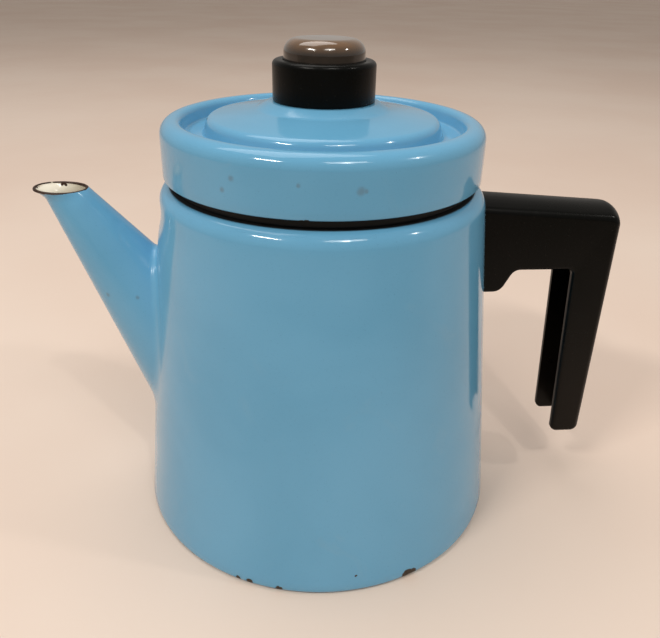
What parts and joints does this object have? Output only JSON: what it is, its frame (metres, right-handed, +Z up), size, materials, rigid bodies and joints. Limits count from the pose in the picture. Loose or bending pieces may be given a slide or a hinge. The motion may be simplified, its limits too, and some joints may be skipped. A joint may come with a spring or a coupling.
{
  "type": "coffee percolator",
  "caption": "Conical enamelled stovetop coffee percolator with a long spout, channel handle, domed lid knob, lift-out pump stem and perforated coffee basket.",
  "frame": {"origin": "centre of the flat base, on the surface that the pot stands on", "axes": "+Z up along the pot's axis, +X towards the handle, -X towards the spout, +Y to the back when the spout is at the left"},
  "size_m": [0.2257, 0.1494, 0.1868],
  "materials": {
    "blue_enamel": "glossy vitreous enamel on steel, light blue outside and white inside, with small chips",
    "black_plastic": "moulded black phenolic, semi-gloss",
    "amber_glass": "clear glass stained brown by coffee",
    "aluminium": "satin spun aluminium",
    "steel": "plain steel",
    "rubber": "dark soft seal"
  },
  "bodies": {
    "pot": {"body_shell": "blue_enamel", "base_plate": "blue_enamel", "spout": "blue_enamel", "handle_bracket": "steel", "handle_grip": "black_plastic", "handle_screw_inner": "steel", "handle_screw_outer": "steel", "handle_washer_inner": "steel", "handle_washer_outer": "steel"},
    "pump": {"pump_base": "aluminium", "pump_tube": "aluminium", "basket_stop": "aluminium", "valve_plate": "aluminium"},
    "valve": {"valve_disc": "steel"},
    "basket": {"coffee_basket": "aluminium", "basket_sleeve": "aluminium"},
    "spreader": {"basket_spreader": "aluminium"},
    "lid": {"lid_shell": "blue_enamel", "knob_collar": "black_plastic", "knob_seal": "rubber", "knob_nut": "aluminium", "dome_seal": "rubber", "sight_dome": "amber_glass"}
  },
  "joints": [
    {"name": "pump_lift", "type": "slide", "parent": "pot", "child": "pump", "axis": [0, 0, 1], "range_m": [0, 0.165]},
    {"name": "valve_lift", "type": "slide", "parent": "pump", "child": "valve", "axis": [0, 0, 1], "range_m": [0, 0.002]},
    {"name": "basket_lift", "type": "slide", "parent": "pump", "child": "basket", "axis": [0, 0, 1], "range_m": [0, 0.085]},
    {"name": "spreader_lift", "type": "slide", "parent": "basket", "child": "spreader", "axis": [0, 0, 1], "range_m": [0, 0.035]},
    {"name": "lid_lift", "type": "slide", "parent": "spreader", "child": "lid", "axis": [0, 0, 1], "range_m": [0, 0.05]}
  ]
}
